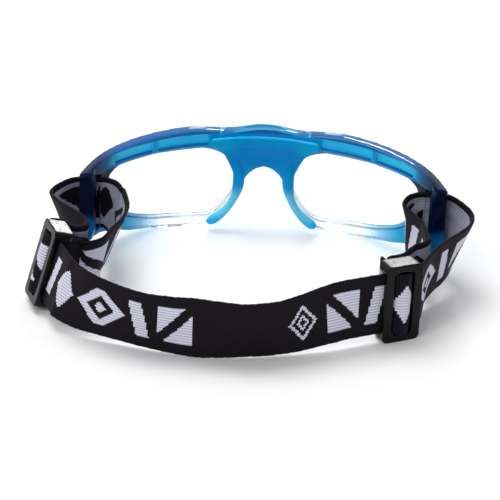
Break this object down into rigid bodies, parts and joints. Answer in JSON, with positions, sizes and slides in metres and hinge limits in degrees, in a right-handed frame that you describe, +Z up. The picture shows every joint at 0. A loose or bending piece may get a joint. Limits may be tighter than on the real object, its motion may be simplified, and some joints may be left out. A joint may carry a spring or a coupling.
{
  "type": "sports protective goggles",
  "caption": "Wraparound one-piece goggle front with clear lenses, silicone nose pad and a patterned elastic strap threaded through tri-glide sliders.",
  "frame": {"origin": "middle of the underside of the bounding box, on the plane the goggles stand on", "axes": "+X to the wearer's right, +Y towards the front of the lenses, +Z up"},
  "size_m": [0.1744, 0.1324, 0.0434],
  "materials": {
    "polycarbonate": "translucent blue injection-moulded polycarbonate fading to clear at the lower rims",
    "lens": "clear polished polycarbonate",
    "silicone": "satin blue silicone",
    "webbing": "woven elastic, black with a pale lavender jacquard pattern",
    "thread": "dark polyester thread",
    "black_plastic": "glossy black acetal"
  },
  "bodies": {
    "frame": {"front_frame": "polycarbonate", "lens_left": "lens", "lens_right": "lens", "nose_pad": "silicone", "strap": "webbing", "strap_tail_left": "webbing", "strap_tail_right": "webbing"},
    "slider_left": {"triglide_left": "black_plastic", "bar_tack_left": "thread"},
    "slider_right": {"triglide_right": "black_plastic", "bar_tack_right": "thread"}
  },
  "joints": [
    {"name": "slide_left", "type": "slide", "parent": "frame", "child": "slider_left", "axis": [-0.342, 0.9397, 0], "range_m": [-0.01, 0], "deforming": ["strap_tail_left"]},
    {"name": "slide_right", "type": "slide", "parent": "frame", "child": "slider_right", "axis": [0.8941, 0.4478, 0], "range_m": [-0.01, 0], "deforming": ["strap_tail_right"]}
  ]
}
